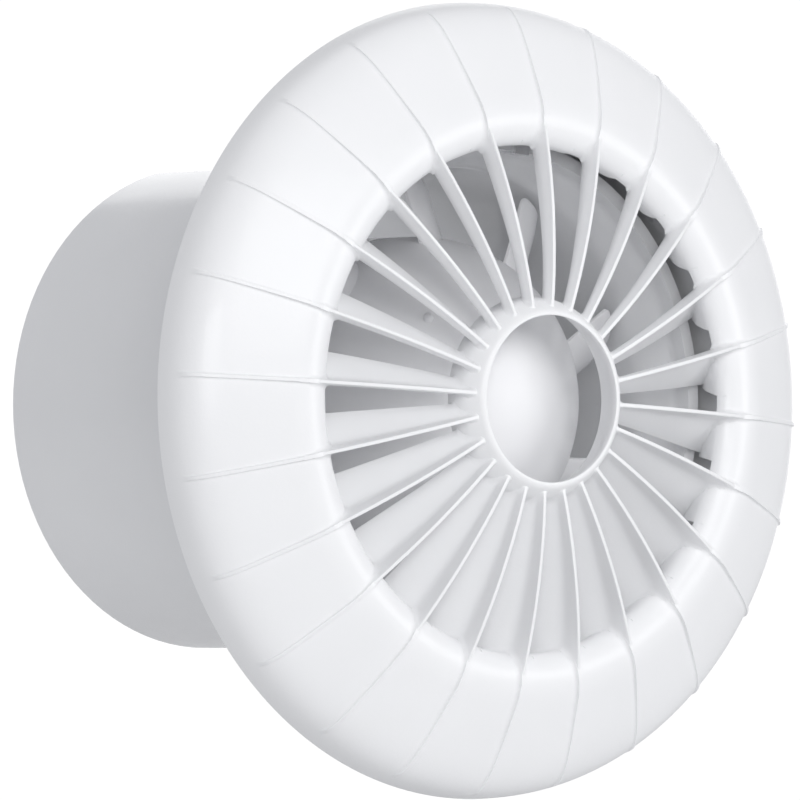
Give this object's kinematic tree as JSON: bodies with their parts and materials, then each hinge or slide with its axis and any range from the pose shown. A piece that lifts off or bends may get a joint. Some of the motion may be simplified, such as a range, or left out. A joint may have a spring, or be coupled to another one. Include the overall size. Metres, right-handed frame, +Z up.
{
  "type": "bathroom extractor fan",
  "caption": "Round axial extractor fan for a bathroom wall: domed front cover with radial louvre vanes and an open centre ring, impeller on a small motor, and a duct spigot.",
  "frame": {"origin": "on the fan axis, in the plane of the wall behind the wall plate", "axes": "+Z up, +Y along the fan axis into the duct, so the front cover faces -Y, +X to the right seen from the front"},
  "size_m": [0.158, 0.1118, 0.158],
  "materials": {
    "cover_white": "satin white ABS",
    "housing_white": "satin white ABS",
    "impeller_white": "satin white ABS",
    "clamp_white": "matt white nylon",
    "terminal_plastic": "natural polyamide",
    "former_plastic": "natural polyamide",
    "cage_plastic": "phenolic resin",
    "rubber_grey": "matt rubber",
    "lead_brown": "PVC insulation",
    "lead_blue": "PVC insulation",
    "spring_steel": "rolled stainless strip",
    "screw_zinc": "bright zinc plate",
    "terminal_brass": "machined",
    "motor_steel": "stacked laminations",
    "copper": "bare copper",
    "copper_enamel": "enamelled winding wire",
    "cast_alloy": "die cast",
    "bearing_steel": "ground and polished",
    "shaft_steel": "ground",
    "fuse_ceramic": "moulded case"
  },
  "bodies": {
    "housing": {"duct_housing": "housing_white", "motor_carrier": "housing_white", "cover_clips": "spring_steel", "cable_grommet": "rubber_grey", "cable_clamp": "clamp_white", "cable_clamp_screws": "screw_zinc", "terminal_block": "terminal_plastic", "terminal_clamps": "terminal_brass", "terminal_screws": "screw_zinc", "terminal_cover": "clamp_white", "terminal_cover_screw": "screw_zinc", "lead_live": "lead_brown", "lead_neutral": "lead_blue", "stator_core": "motor_steel", "shading_rings": "copper", "coil_formers": "former_plastic", "stator_coils": "copper_enamel", "front_end_shield": "cast_alloy", "rear_end_shield": "cast_alloy", "motor_bolts": "screw_zinc", "preload_washer": "spring_steel", "thermal_fuse": "fuse_ceramic", "front_bearing_outer": "bearing_steel", "rear_bearing_outer": "bearing_steel"},
    "rotor": {"impeller": "impeller_white", "motor_shaft": "shaft_steel", "rotor_core": "motor_steel", "rotor_cage": "cast_alloy", "front_bearing_inner": "bearing_steel", "rear_bearing_inner": "bearing_steel"},
    "ball_sets": {"bearing_cages": "cage_plastic", "bearing_balls": "bearing_steel"},
    "cover": {"front_cover": "cover_white", "inlet_grille": "cover_white"}
  },
  "joints": [
    {"name": "impeller_spin", "type": "hinge", "parent": "housing", "child": "rotor", "pos_m": [0, 0, 0], "axis": [0, 1, 0], "continuous": true},
    {"name": "ball_orbit", "type": "hinge", "parent": "housing", "child": "ball_sets", "pos_m": [0, 0.0105, 0], "axis": [0, 1, 0], "continuous": true},
    {"name": "cover_pull", "type": "slide", "parent": "housing", "child": "cover", "axis": [0, -1, 0], "range_m": [0, 0.04]}
  ],
  "couplings": [
    {"joint": "ball_orbit", "follows": "impeller_spin", "ratio": 0.3747}
  ]
}
